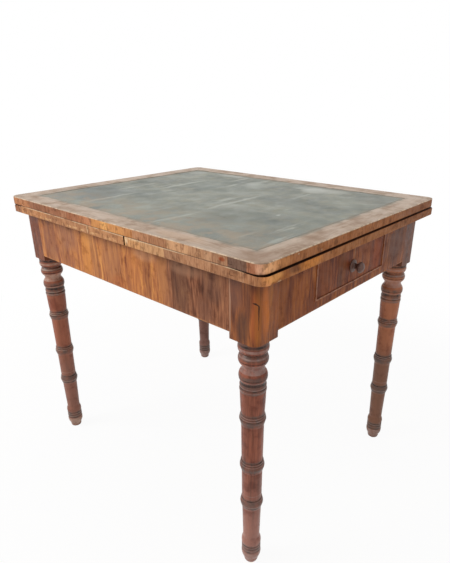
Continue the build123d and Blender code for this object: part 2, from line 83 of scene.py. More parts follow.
def addNode(tree, kind, settings=None, links=None, out=0):
    # adds a node, sets it, links or fills its inputs, and hands back one output, or the node itself
    node = tree.nodes.new(kind)
    for name, value in (settings or {}).items():
        if name == "stops":
            elements = node.color_ramp.elements
            while len(elements) < len(value):
                elements.new(0.5)
            for element, (position, code) in zip(elements, value):
                element.position = position
                element.color = linearColour(code)
        else:
            setattr(node, name, value)
    for name, value in (links or {}).items():
        if isinstance(value, bpy.types.NodeSocket):
            tree.links.new(value, node.inputs[name])
        else:
            coded = isinstance(value, str) and value.startswith("#")
            node.inputs[name].default_value = linearColour(value) if coded else value
    return node if out is None else node.outputs[out]


# Settings that many nodes share. A map range takes value, from low, from high, to low, to high as
# inputs 0 to 4, and a colour mix takes its share as input 0 and its two colours as 6 and 7.
smooth = {"interpolation_type": "SMOOTHSTEP"}
colours = {"data_type": "RGBA"}
multiplied = {"data_type": "RGBA", "blend_type": "MULTIPLY"}
times = {"operation": "MULTIPLY"}
timesPlus = {"operation": "MULTIPLY_ADD"}
plus = {"operation": "ADD"}
minus = {"operation": "SUBTRACT"}
larger = {"operation": "MAXIMUM"}
unsigned = {"operation": "ABSOLUTE"}


def newMaterial(name):
    # an empty material, its tree, and the place on the table in millimetres
    material = bpy.data.materials.new(name)
    material.use_nodes = True
    tree = material.node_tree
    tree.nodes.clear()
    place = addNode(tree, "ShaderNodeTexCoord", out="Object")
    place = addNode(tree, "ShaderNodeVectorMath", {"operation": "SCALE"}, {0: place, "Scale": 1000.0})
    return material, tree, place


# Soft studio: pale floor, even sky, one broad window light, a weak fill and a weak light overhead
studio = {
    "sky": 0.56,
    "floorGlow": 0.93,              # share of plain white in the floor that the camera sees, near the table
    "glowRadii": (800.0, 1600.0),   # in mm, where that share starts to rise, and where it is whole
    "floorReach": 9.0,
    "aim": (0.0, 0.0, 0.6),         # what the lamps point at
    "lamps": {
        "window": {"place": (-1.9, -2.5, 2.4), "size": 2.0, "power": 72.0},
        "fill": {"place": (2.8, -0.6, 1.4), "size": 2.6, "power": 6.0},
        "overhead": {"place": (0.1, 0.6, 3.0), "size": 2.6, "power": 12.0},
    },
}


def seenByCamera(tree):
    # 1 for what the camera sees, also mirrored or through glass, and 0 for the light that falls
    path = addNode(tree, "ShaderNodeLightPath", out=None).outputs
    seen = addNode(tree, "ShaderNodeMath", larger, {0: path["Is Camera Ray"], 1: path["Is Glossy Ray"]})
    return addNode(tree, "ShaderNodeMath", larger, {0: seen, 1: path["Is Transmission Ray"]})


world = bpy.data.worlds.new("studio")
bpy.context.scene.world = world
world.use_nodes = True
tree = world.node_tree
tree.nodes.clear()
level = addNode(tree, "ShaderNodeMapRange", None, {0: seenByCamera(tree), 3: studio["sky"], 4: 1.0})
sky = addNode(tree, "ShaderNodeBackground", None, {"Color": "#ffffff", "Strength": level})
addNode(tree, "ShaderNodeOutputWorld", None, {"Surface": sky}, None)

for name, lampLook in studio["lamps"].items():
    lamp = bpy.data.lights.new(name, "AREA")
    lamp.shape = "DISK"
    lamp.size = lampLook["size"]
    lamp.energy = lampLook["power"]
    lampObject = addObject(name, lamp)
    aim = Vector(studio["aim"]) - Vector(lampLook["place"])
    lampObject.matrix_world = Matrix.Translation(lampLook["place"]) @ aim.to_track_quat("-Z", "Y").to_matrix().to_4x4()

reach = studio["floorReach"]
floorMesh = bpy.data.meshes.new("floor")
floorCorners = [(-reach, -reach, 0), (reach, -reach, 0), (reach, reach, 0), (-reach, reach, 0)]
floorMesh.from_pydata(floorCorners, [], [(0, 1, 2, 3)])
floor = addObject("floor", floorMesh)
floorPaint, tree, place = newMaterial("matte white studio floor")
away = addNode(tree, "ShaderNodeVectorMath", {"operation": "LENGTH"}, {0: place}, "Value")
share = addNode(tree, "ShaderNodeMapRange", smooth, {
    0: away, 1: studio["glowRadii"][0], 2: studio["glowRadii"][1], 3: studio["floorGlow"], 4: 1.0})
share = addNode(tree, "ShaderNodeMath", times, {0: seenByCamera(tree), 1: share})
matte = addNode(tree, "ShaderNodeBsdfDiffuse", None, {"Color": "#f2f0ee"})
glow = addNode(tree, "ShaderNodeEmission", None, {"Color": "#ffffff", "Strength": 1.0})
mixed = addNode(tree, "ShaderNodeMixShader", None, {0: share, 1: matte, 2: glow})
addNode(tree, "ShaderNodeOutputMaterial", None, {"Surface": mixed}, None)
floorMesh.materials.append(floorPaint)
print("camera, lights and floor made")


# Recipes for finishes. Lengths in a look are in millimetres, and a layer of wood figure has its
# width, its stretch along the grain and its weight in the tone.
def between(tree, value, low, high, soft):
    # 1 between two values, fading out over soft on either side
    rise = addNode(tree, "ShaderNodeMapRange", smooth, {0: value, 1: low - soft, 2: low + soft})
    fall = addNode(tree, "ShaderNodeMapRange", smooth, {0: value, 1: high - soft, 2: high + soft, 3: 1.0, 4: 0.0})
    return addNode(tree, "ShaderNodeMath", times, {0: rise, 1: fall})


def outward(tree, x, y, spanX, spanY, joined=larger):
    # rises over a span of x towards the ends of the table, and over a span of y towards its sides
    rises = []
    for value, (start, whole) in ((x, spanX), (y, spanY)):
        size = addNode(tree, "ShaderNodeMath", unsigned, {0: value})
        rises.append(addNode(tree, "ShaderNodeMapRange", smooth, {0: size, 1: start, 2: whole}))
    return addNode(tree, "ShaderNodeMath", joined, {0: rises[0], 1: rises[1]})


def laid(tree, colour, code, share, *others):
    # lays a colour on by the product of its shares
    for other in others:
        share = addNode(tree, "ShaderNodeMath", times, {0: share, 1: other})
    return addNode(tree, "ShaderNodeMix", colours, {0: share, 6: colour, 7: code}, 2)


def stained(tree, colour, value, low, high, strength, code, blend=colours):
    # lays a colour on as the value goes from low to high
    share = addNode(tree, "ShaderNodeMapRange", smooth, {0: value, 1: low, 2: high, 3: 0.0, 4: strength})
    return addNode(tree, "ShaderNodeMix", blend, {0: share, 6: colour, 7: code}, 2)


def unevenly(tree, colour, share, code, value, low, high, least, most, span=None):
    # lays a colour on by a share that holds from least to most as the value goes from low to high.
    # With a span, the share is what rises over it.
    if span:
        share = addNode(tree, "ShaderNodeMapRange", smooth, {0: share, 1: span[0], 2: span[1]})
    held = addNode(tree, "ShaderNodeMapRange", smooth, {0: value, 1: low, 2: high, 3: least, 4: most})
    return laid(tree, colour, code, share, held)


def patched(tree, place, colour, patches):
    # each patch has a middle, three radii, a colour and a strength, and fades out across its edge
    for middle, radii, code, strength in patches:
        away = addNode(tree, "ShaderNodeVectorMath", minus, {0: place, 1: middle})
        away = addNode(tree, "ShaderNodeVectorMath", {"operation": "DIVIDE"}, {0: away, 1: radii})
        away = addNode(tree, "ShaderNodeVectorMath", {"operation": "LENGTH"}, {0: away}, "Value")
        share = addNode(tree, "ShaderNodeMapRange", smooth, {0: away, 1: 0.45, 2: 1.15, 3: strength, 4: 0.0})
        colour = addNode(tree, "ShaderNodeMix", colours, {0: share, 6: colour, 7: code}, 2)
    return colour


poreLayer = (0.9, 14.0, 0.0)   # no weight: the pores are laid over the tone


def woodFigure(tree, place, look):
    # layers of figure, streaks and fibres, all drawn out along the grain, and last the open pores
    along = "XYZ".index(look["along"])
    wander = addNode(tree, "ShaderNodeTexNoise", None, {
        "Vector": place, "Scale": 1 / look.get("waveLength", 80.0), "Detail": 1.0}, "Color")
    wander = addNode(tree, "ShaderNodeVectorMath", minus, {0: wander, 1: (0.5, 0.5, 0.5)})
    bent = addNode(tree, "ShaderNodeVectorMath", timesPlus, {0: wander, 1: (look["wave"],) * 3, 2: place})
    tone = None
    for index, (width, stretch, weight) in enumerate(look["layers"] + [poreLayer]):
        scale = tuple(1 / (width * stretch) if axis == along else 1 / width for axis in range(3))
        seed = look["seed"] + index
        shifted = addNode(tree, "ShaderNodeMapping", None, {
            "Vector": bent, "Location": (7.3 * seed, 3.1 * seed, 5.9 * seed), "Scale": scale})
        layer = addNode(tree, "ShaderNodeTexNoise", None, {
            "Vector": shifted, "Scale": 1.0, "Detail": 2.5, "Roughness": 0.6})
        if weight:
            part = addNode(tree, "ShaderNodeMath", times, {0: layer, 1: weight})
            tone = part if tone is None else addNode(tree, "ShaderNodeMath", plus, {0: tone, 1: part})
            fibres = layer
    colour = addNode(tree, "ShaderNodeValToRGB", {"stops": look["stops"]}, {"Fac": tone})
    pores = addNode(tree, "ShaderNodeMapRange", smooth, {0: layer, 1: 0.58, 2: 0.70, 3: 0.0, 4: look["poreDepth"]})
    colour = addNode(tree, "ShaderNodeMix", colours, {0: pores, 6: colour, 7: look.get("poreColour", "#24120c")}, 2)
    height = addNode(tree, "ShaderNodeMath", timesPlus, {0: pores, 1: -1.6, 2: fibres})
    return colour, height, bent


def finished(tree, colour, height, wear, look, bare=None):
    # a worn film of polish or wax, rougher as its wear rises, or the bare surface
    low, high = look.get("wearSpan", (0.3, 0.7))
    rough = addNode(tree, "ShaderNodeMapRange", smooth, {
        0: wear, 1: low, 2: high, 3: look["rough"][0], 4: look["rough"][1]})
    if bare is not None:
        rough = addNode(tree, "ShaderNodeMath", larger, {0: rough, 1: bare})
    bump = addNode(tree, "ShaderNodeBump", None, {
        "Height": height, "Strength": look["bump"], "Distance": look.get("bumpHeight", 0.0004)})
    shader = addNode(tree, "ShaderNodeBsdfPrincipled", None, {
        "Base Color": colour, "Roughness": rough, "Normal": bump, "IOR": look.get("ior", 1.5),
        "Specular IOR Level": look["specular"]})
    addNode(tree, "ShaderNodeOutputMaterial", None, {"Surface": shader}, None)


# Raw oak, sawn and planed: pale, dry and dusty, with long open pores and no shine
oakLook = {
    "layers": [(34.0, 4.0, 0.45), (5.0, 26.0, 0.33), (1.3, 40.0, 0.22)], "seed": 11, "wave": 6.0,
    "stops": [(0.30, "#6a4630"), (0.45, "#855f42"), (0.58, "#9b734f"), (0.72, "#b18a62")],
    "poreDepth": 0.5, "poreColour": "#4a3422", "bump": 0.5, "specular": 0.15, "rough": (0.66, 0.82),
    "grime": "#4d3826",
}


def oakMaterial(along):
    material, tree, place = newMaterial(f"raw oak, grain along {along}")
    colour, height = woodFigure(tree, place, {**oakLook, "along": along})[:2]
    grime = addNode(tree, "ShaderNodeTexNoise", None, {"Vector": place, "Scale": 1 / 60, "Detail": 3.0})
    colour = stained(tree, colour, grime, 0.45, 0.70, 0.5, oakLook["grime"])
    finished(tree, colour, height, grime, oakLook)
    return material


# Flame mahogany veneer, knife-cut and french polished: upright brown and orange flames under an
# old, uneven low shine, with painted shade darkening it below the overhang
veneerLook = {
    "along": "Z", "layers": [(19.0, 5.0, 0.42), (6.0, 16.0, 0.34), (2.0, 40.0, 0.24)], "wave": 13.0, "seed": 3,
    "stops": [(0.34, "#5f301e"), (0.43, "#8f5132"), (0.50, "#b27041"), (0.57, "#c98447"), (0.67, "#dea05c")],
    "poreDepth": 0.42, "bump": 0.3, "specular": 0.1, "rough": (0.36, 0.52), "rawAlong": "X",
    "faceX": (404.0, 404.6), "faceY": (326.0, 326.6),   # the outer faces, the only ones with veneer
    "overhangShadeZ": (668, 706), "overhangShade": "#3a2018",             # painted shade: from where it starts, up to the overhang
    "arrisZ": (588.5, 586.0),                           # the lower arris, rubbed bare
}
apronMarks = {
    "changes": (128, 196),          # along x, where the light leaf of veneer gives way to the dark one
    "joints": [-92, 176],           # butted joints between leaves of veneer
    # each patch: x and z of its middle, half its width, half its height, colour and strength
    "patches": [((x, -327, z), (wide, 30, tall), code, strength) for x, z, wide, tall, code, strength in (
        (-292, 640, 44, 80, "#80503a", 0.62),
        (-205, 664, 56, 44, "#8d5f4a", 0.60),
        (-224, 612, 30, 34, "#7e4c38", 0.50),
        (-190, 604, 30, 22, "#94593c", 0.45),
        (-112, 674, 26, 24, "#dc9a56", 0.50),
        (-86, 640, 16, 70, "#c88850", 0.50),
        (-122, 640, 26, 70, "#cd8640", 0.55),
        (-76, 640, 4, 90, "#74442e", 0.50),
        (-20, 650, 46, 70, "#a8724c", 0.50),
        (0, 596, 30, 20, "#a0562e", 0.45),
        (40, 604, 16, 24, "#8a4c30", 0.50),
        (66, 650, 24, 80, "#c47c44", 0.50),
        (104, 682, 46, 16, "#c89470", 0.50),
        (110, 634, 16, 70, "#845032", 0.50),
        (156, 650, 20, 60, "#b87c4c", 0.50),
        (212, 640, 30, 80, "#54372a", 0.60),
        (276, 606, 24, 30, "#6e4838", 0.50),
        (300, 660, 34, 40, "#5d4034", 0.50),
        (228, 682, 56, 18, "#9c7258", 0.55),
    )],
}
endMarks = {
    "joints": [],
    # here y and z of its middle
    "patches": [((405, y, z), (20, wide, tall), code, strength) for y, z, wide, tall, code, strength in (
        (-250, 640, 16, 70, "#8a5230", 0.55),
        (-226, 660, 9, 40, "#5a2c1c", 0.50),
        (-190, 630, 14, 60, "#9c5a30", 0.45),
        (210, 650, 60, 70, "#5e4036", 0.75),
    )],
}
frontMarks = {
    "joints": [-58],
    "patches": [((405, y, z), (20, wide, tall), code, strength) for y, z, wide, tall, code, strength in (
        (-110, 640, 26, 60, "#8a4e2b", 0.50),
        (-45, 640, 20, 60, "#6d4630", 0.50),
        (8, 676, 1.6, 16, "#b98a68", 0.60),
        (110, 650, 26, 60, "#93451f", 0.55),
    )],
}


def veneerMaterial(name, look, marks):
    material, tree, place = newMaterial(name)
    x, y, z = addNode(tree, "ShaderNodeSeparateXYZ", None, {0: place}, None).outputs
    colour, height, bent = woodFigure(tree, place, look)
    if "secondStops" in look:
        second = woodFigure(tree, place, {**look, "seed": look["seed"] + 9, "stops": look["secondStops"]})[0]
        bentX = addNode(tree, "ShaderNodeSeparateXYZ", None, {0: bent}, 0)
        colour = stained(tree, colour, bentX, *marks["changes"], 1.0, second)
    colour = patched(tree, bent, colour, marks["patches"])
    along = x if look["rawAlong"] == "X" else y
    for joint in marks["joints"]:
        colour = laid(tree, colour, "#3c2016", between(tree, along, joint - 0.5, joint + 0.5, 0.5), 0.45)
    # painted shade under the overhang, dirt in blots, bare pale wood along the lower arris
    grime = addNode(tree, "ShaderNodeTexNoise", None, {
        "Vector": place, "Scale": 1 / 24, "Detail": 4.0, "Roughness": 0.6})
    colour = unevenly(tree, colour, z, look["overhangShade"], grime, 0.35, 0.65, 0.25, 0.75, look["overhangShadeZ"])
    colour = stained(tree, colour, grime, 0.54, 0.70, 0.35, "#9a7868", multiplied)
    colour = unevenly(tree, colour, z, "#b07a50", grime, 0.42, 0.60, 0.0, 0.7, look["arrisZ"])
    # inner faces were never veneered or polished
    outside = outward(tree, x, y, look["faceX"], look["faceY"])
    raw = woodFigure(tree, place, {**oakLook, "along": look["rawAlong"]})[0]
    raw = stained(tree, raw, grime, 0.42, 0.68, 0.5, oakLook["grime"])
    colour = addNode(tree, "ShaderNodeMix", colours, {0: outside, 6: raw, 7: colour}, 2)
    bare = addNode(tree, "ShaderNodeMapRange", smooth, {0: outside, 3: 0.75, 4: 0.0})
    finished(tree, colour, height, grime, look, bare)
    return material


apronLook = {**veneerLook, "secondStops": [
    (0.34, "#432216"), (0.43, "#6d412c"), (0.50, "#8e5b40"), (0.57, "#a66f4c"), (0.67, "#bd895e")]}
endLook = {**veneerLook, "seed": 17, "rawAlong": "Y", "stops": [
    (0.34, "#3f1b11"), (0.43, "#66331c"), (0.50, "#824727"), (0.57, "#9a5a2d"), (0.67, "#b5723a")]}
frontLook = {**endLook, "seed": 23, "stops": [
    (0.34, "#381710"), (0.43, "#5e2d1b"), (0.50, "#7a4126"), (0.57, "#92532e"), (0.67, "#ab6a3a")]}
leftEndMarks = {"joints": [60], "patches": [
    ((-405, -120, 640), (20, 60, 70), "#8a5436", 0.45), ((-405, 180, 650), (20, 60, 60), "#7c4a34", 0.45)]}
apronMaterial = veneerMaterial("flame mahogany veneer, long aprons", apronLook, apronMarks)
endMaterial = veneerMaterial("flame mahogany veneer, drawer end", endLook, endMarks)
frontMaterial = veneerMaterial("flame mahogany veneer, drawer front", frontLook, frontMarks)
leftEndMaterial = veneerMaterial(
    "flame mahogany veneer, left end", {**veneerLook, "seed": 41, "rawAlong": "Y"}, leftEndMarks)
bearerMaterial = veneerMaterial(
    "oak bearer, its end stained to match the veneer", {**endLook, "rawAlong": "X"}, {"joints": [], "patches": []})
print("veneers made")


# Crossbanded mahogany edging, scraped and waxed: short upright grain in lengths of different
# shades, with painted shade along the joint and the rims, chips that show pale wood, and an arris rubbed pale
edgeLook = {
    "along": "Z", "layers": [(26.0, 1.4, 0.40), (4.5, 6.0, 0.34), (1.6, 16.0, 0.26)], "wave": 6.0, "seed": 5,
    "stops": [(0.30, "#724328"), (0.42, "#9c6a48"), (0.52, "#b48462"), (0.62, "#c39570"), (0.76, "#d2aa84")],
    "poreDepth": 0.45, "bump": 0.45, "specular": 0.1, "rough": (0.42, 0.62),
    "frontY": (-338.0, -344.0), "endX": (427.0, 431.8),   # from where the front and the drawer end start
    "gapY": (-326.0, -338.0),                             # the front ends of the joints between boards
    "rimX": (418.0, 428.0), "rimY": (336.0, 344.0),       # the rim of the flat faces, painted dark as shade in the joint
    "nearY": (-60.0, -300.0),                             # the way along which that painted shade deepens
}
topEdgeMarks = {
    "lengths": [   # along the front edge: from, to, colour, strength
        (-440, -330, "#b47040", 0.55), (-330, -248, "#824c32", 0.60), (-248, -150, "#9c6040", 0.45),
        (-150, -104, "#a4623f", 0.55), (-104, -52, "#c47c50", 0.58), (-50, 68, "#e29c56", 0.62),
        (68, 97, "#c8823f", 0.55), (97, 150, "#c48c64", 0.50), (150, 200, "#b4805a", 0.45),
        (202, 262, "#dcaa7c", 0.55), (262, 300, "#b4855e", 0.45), (300, 356, "#bf9470", 0.40),
        (358.5, 400, "#6a5145", 0.85), (400, 422, "#96543a", 0.55),
    ],
    "patches": [
        ((346, -348, 731), (9, 10, 5), "#8e3f1c", 0.85),
        ((-1, -348, 731), (16, 10, 14), "#f6b96e", 0.60),
        ((426, -342, 731), (10, 16, 16), "#f0b490", 0.75),
        ((432, -322, 731), (10, 26, 16), "#fdbe88", 0.80),
        ((432, -292, 731), (8, 28, 14), "#d2925a", 0.58),
        ((432, 240, 731), (10, 130, 16), "#7c5238", 0.45),
        ((433, -248, 734), (4, 3.5, 2), "#ccae8e", 0.70),
        ((433, -176, 726), (4, 4, 2), "#c8a684", 0.70),
    ],
    "arrisZ": (738.0, 739.3), "arrisWear": (0.05, 0.70),
    "endTone": ("#a05c24", 0.60),
    "joint": (722.4, 719.8),   # the lowest of it, darkened as painted shade of the gap over the leaves
}
leafEdgeMarks = {
    "lengths": [
        (-440, -380, "#8f5836", 0.50), (-380, -250, "#c58650", 0.50), (-250, -66, "#bd8558", 0.45),
        (-65, 65, "#cf9462", 0.58), (68, 120, "#e2a668", 0.58), (120, 193, "#dcaa76", 0.55),
        (193, 240, "#9c6e50", 0.48), (240, 392, "#b98660", 0.35), (395, 424, "#a8714a", 0.50),
        (424, 440, "#d08e5c", 0.50),
    ],
    "patches": [
        ((435, -254, 712), (12, 30, 9), "#5a3522", 0.60),
        ((434, -334, 710), (11, 13, 18), "#f6a76c", 0.72),
        ((435, -318, 712), (12, 28, 10), "#f0aa62", 0.62),
        ((435, -212, 712), (12, 42, 14), "#dc8c3c", 0.58),
        ((435, -304, 699), (12, 8, 5), "#d2ae84", 0.70),
        ((435, 20, 710), (12, 200, 12), "#8a5a34", 0.38),
        ((435, 230, 710), (12, 150, 14), "#744a30", 0.48),
        ((74.5, -348, 713), (5, 10, 9), "#e3c49c", 0.85),
        ((100, -348, 718), (34, 10, 2.4), "#d9b387", 0.70),
        ((-69.5, -348, 711), (2.4, 10, 10), "#dcb98f", 0.75),
    ],
    "chipLine": (-290, 40, 705.5),              # from, to, height
    "gaps": [(-66.2, -64.8), (64.8, 69.3)],     # the joints beside the centre board
    "arrisZ": (717.7, 719.0), "arrisWear": (0.1, 0.75),
    "endTone": ("#a65e1c", 0.58),
}


# The boards' flat faces, planed and polished: kept from the light, so still a deep red-brown
boardLook = {
    "layers": [(42.0, 6.0, 0.42), (7.0, 24.0, 0.34), (1.8, 44.0, 0.24)], "wave": 16.0, "waveLength": 140.0,
    "stops": [(0.32, "#56291a"), (0.43, "#774028"), (0.52, "#8e5031"), (0.60, "#a1623e"), (0.72, "#b37750")],
    "poreDepth": 0.4,
}


def edgeMaterial(name, look, marks, along):
    material, tree, place = newMaterial(name)
    x, y, z = addNode(tree, "ShaderNodeSeparateXYZ", None, {0: place}, None).outputs
    colour, height, bent = woodFigure(tree, place, look)
    # each length of banding round the edge has a shade of its own
    spread = addNode(tree, "ShaderNodeVectorMath", times, {0: place, 1: (1 / 64, 1 / 64, 0.0)})
    cells = addNode(tree, "ShaderNodeTexVoronoi", {"voronoi_dimensions": "2D"}, {
        "Vector": spread, "Scale": 1.0, "Randomness": 0.9}, "Color")
    shade = addNode(tree, "ShaderNodeSeparateColor", None, {0: cells})
    colour = stained(tree, colour, shade, 0.2, 0.9, 0.42, "#a07058", multiplied)
    front = addNode(tree, "ShaderNodeMapRange", smooth, {0: y, 1: look["frontY"][0], 2: look["frontY"][1]})
    for low, high, code, strength in marks["lengths"]:
        colour = laid(tree, colour, code, between(tree, x, low, high, 0.8), strength, front)
    # the end that faces the drawer is darker and redder
    endCode, endShare = marks["endTone"]
    colour = stained(tree, colour, x, *look["endX"], endShare, endCode)
    colour = patched(tree, bent, colour, marks["patches"])
    # fine dark streaks up the banding
    streaks = addNode(tree, "ShaderNodeVectorMath", times, {0: place, 1: (1 / 3.2, 1 / 3.2, 1 / 22)})
    streaks = addNode(tree, "ShaderNodeTexNoise", None, {
        "Vector": streaks, "Scale": 1.0, "Detail": 3.0, "Roughness": 0.6})
    colour = stained(tree, colour, streaks, 0.50, 0.66, 0.5, "#94685a", multiplied)
    # blots of dirt along the edge, and its upper arris rubbed pale here and there
    stain = addNode(tree, "ShaderNodeTexNoise", None, {
        "Vector": place, "Scale": 1 / 15, "Detail": 4.0, "Roughness": 0.6})
    colour = stained(tree, colour, stain, 0.50, 0.70, 0.6, "#5a3826")
    wear = addNode(tree, "ShaderNodeTexNoise", None, {"Vector": place, "Scale": 1 / 34, "Detail": 2.0})
    colour = unevenly(tree, colour, z, "#dcbf9c", wear, 0.42, 0.56, *marks["arrisWear"], marks["arrisZ"])
    if "chipLine" in marks:
        # veneer chipped away along the lower half of the front edge
        fromX, toX, lineZ = marks["chipLine"]
        chips = addNode(tree, "ShaderNodeTexNoise", None, {
            "Vector": place, "Scale": 1 / 18, "Detail": 5.0, "Roughness": 0.65})
        gone = addNode(tree, "ShaderNodeMapRange", smooth, {0: chips, 1: 0.51, 2: 0.57, 3: 0.0, 4: 0.7})
        colour = laid(
            tree, colour, "#d6aa78", between(tree, x, fromX, toX, 12.0),
            between(tree, z, lineZ - 2.0, lineZ + 2.0, 2.0), gone, front)
    for low, high in marks.get("gaps", []):
        # dirt has packed into the front ends of the joints between the boards
        share = addNode(tree, "ShaderNodeMapRange", smooth, {0: y, 1: look["gapY"][0], 2: look["gapY"][1]})
        colour = laid(tree, colour, "#1c110c", share, between(tree, x, low, high, 0.1))
    # painted shade: the lowest of the top's edge darkened, for the shadow in the gap over the leaves
    if "joint" in marks:
        colour = stained(tree, colour, z, *marks["joint"], 0.75, "#2c1912")
    # the flat faces, above and below, show the board and not its banding
    facing = addNode(tree, "ShaderNodeNewGeometry", out="Normal")
    facing = addNode(tree, "ShaderNodeSeparateXYZ", None, {0: facing}, 2)
    facing = addNode(tree, "ShaderNodeMath", unsigned, {0: facing})
    facing = addNode(tree, "ShaderNodeMapRange", smooth, {0: facing, 1: 0.90, 2: 0.96})
    flat = woodFigure(tree, place, {**boardLook, "along": along, "seed": look["seed"] + 31})[0]
    colour = addNode(tree, "ShaderNodeMix", colours, {0: facing, 6: colour, 7: flat}, 2)
    # painted shade: the rims that meet in the joint are darkened to near black, for the shadow in the gap between top
    # and leaf
    share = outward(tree, x, y, look["rimX"], look["rimY"])
    share = addNode(tree, "ShaderNodeMath", times, {0: share, 1: facing})
    colour = unevenly(tree, colour, share, "#1a100b", y, *look["nearY"], 0.75, 0.95)
    finished(tree, colour, height, stain, look)
    return material


leafEdgeLook = {**edgeLook, "seed": 8}
topBoard = edgeMaterial("mahogany top, grain along x, edge crossbanded and waxed", edgeLook, topEdgeMarks, "X")
topClamp = edgeMaterial("mahogany top, grain along y, edge crossbanded and waxed", edgeLook, topEdgeMarks, "Y")
leafBoard = edgeMaterial("mahogany leaf, grain along x, edge crossbanded and waxed", leafEdgeLook, leafEdgeMarks, "X")
leafClamp = edgeMaterial("mahogany leaf, grain along y, edge crossbanded and waxed", leafEdgeLook, leafEdgeMarks, "Y")


# Faded mahogany crossbanding, french polished: bleached to a greyish tan by the window, its thin
# polish scratched and water-stained, and rubbed to pale wood on the outer arris
borderLook = {
    "layers": [(32.0, 3.0, 0.42), (5.0, 14.0, 0.33), (1.5, 30.0, 0.25)], "wave": 12.0,
    "stops": [(0.30, "#86684e"), (0.42, "#a08670"), (0.50, "#b09a86"), (0.60, "#bca591"), (0.74, "#ccb8a2")],
    "poreDepth": 0.32, "bump": 0.35, "specular": 0.22, "rough": (0.36, 0.55),
    "leatherX": (391.0, 378.0), "leatherY": (307.0, 294.0),   # from clean wood to the leather's edge
    "arrisX": (429.4, 431.4), "arrisY": (345.4, 347.4),       # the outer arris, rubbed bare
}
# x and y of the middle, half the length, half the width, colour, strength
borderPatches = [((x, y, 740), (long, wide, 20), code, strength) for x, y, long, wide, code, strength in (
    (400, -318, 60, 40, "#86654c", 0.45),
    (404, -150, 20, 60, "#94765e", 0.40),
    (-395, -200, 30, 80, "#9a8878", 0.30),
    (210, -322, 90, 20, "#c4a284", 0.45),
)]


def borderMaterial(name, along, seed):
    material, tree, place = newMaterial(name)
    x, y = addNode(tree, "ShaderNodeSeparateXYZ", None, {0: place}, None).outputs[:2]
    colour, height, bent = woodFigure(tree, place, {**borderLook, "along": along, "seed": seed})
    colour = patched(tree, bent, colour, borderPatches)
    stain = addNode(tree, "ShaderNodeTexNoise", None, {
        "Vector": place, "Scale": 1 / 38, "Detail": 4.0, "Roughness": 0.55})
    colour = stained(tree, colour, stain, 0.46, 0.72, 0.6, "#7d6048")
    # dirt has crept from the leather's edge into the wood
    inner = outward(tree, x, y, borderLook["leatherX"], borderLook["leatherY"], times)
    colour = unevenly(tree, colour, inner, "#7f7d70", stain, 0.38, 0.60, 0.15, 0.75)
    rub = addNode(tree, "ShaderNodeTexNoise", None, {"Vector": place, "Scale": 1 / 7, "Detail": 3.0})
    outer = outward(tree, x, y, borderLook["arrisX"], borderLook["arrisY"])
    colour = unevenly(tree, colour, outer, "#dcc3a4", rub, 0.44, 0.58, 0.05, 0.8)
    finished(tree, colour, height, stain, borderLook)
    return material


borderAlongX = borderMaterial("faded mahogany banding, front and back", "X", 9)
borderAlongY = borderMaterial("faded mahogany banding, ends", "Y", 13)
print("edges and banding made")


# Mahogany legs, turned and french polished: red-brown shafts that fade towards the floor, with painted
# light and shade in that fade, cut lines filled black with old wax, and painted highlights on the crests
legLook = {
    "along": "Z", "layers": [(22.0, 5.0, 0.40), (6.0, 16.0, 0.34), (1.6, 36.0, 0.26)], "wave": 6.0, "seed": 6,
    "stops": [(0.32, "#502a1f"), (0.42, "#6f3f2d"), (0.52, "#884d3a"), (0.62, "#9e5e46"), (0.76, "#b47558")],
    "poreDepth": 0.32, "bump": 0.25, "specular": 0.2, "rough": (0.30, 0.46),
}
legTurning = {   # low and high of each ring in mm: darkened hollows, cut lines, and painted highlights on the crests and the foot
    "stained": [(559, 574), (533, 546), (488, 498), (459, 486), (384, 410), (268, 294), (165, 192), (33, 56)],
    "cuts": [(561, 565.5), (546, 548), (527, 529.5), (489, 491.5), (476.5, 483), (466.5, 468.3), (404.8, 406.2),
             (399.8, 401.2), (394.8, 396.2), (289, 290.6), (283.5, 285.1), (187.6, 189.2), (167.5, 169.1),
             (51.5, 53.1), (44.6, 46.2), (35.8, 37.4)],
    "lights": [(4, 32), (551.5, 557), (536, 539), (503, 525), (484.8, 486.2), (470.2, 471.6), (462.2, 463.8),
               (402.2, 403.4), (397.4, 398.6), (286.2, 287.4), (281, 282.4), (201.2, 202.4), (173, 174.4),
               (48.5, 49.7), (39.5, 40.7)],
    "shoulder": (570.6, 571.2),   # where the turning ends and the square block starts
}


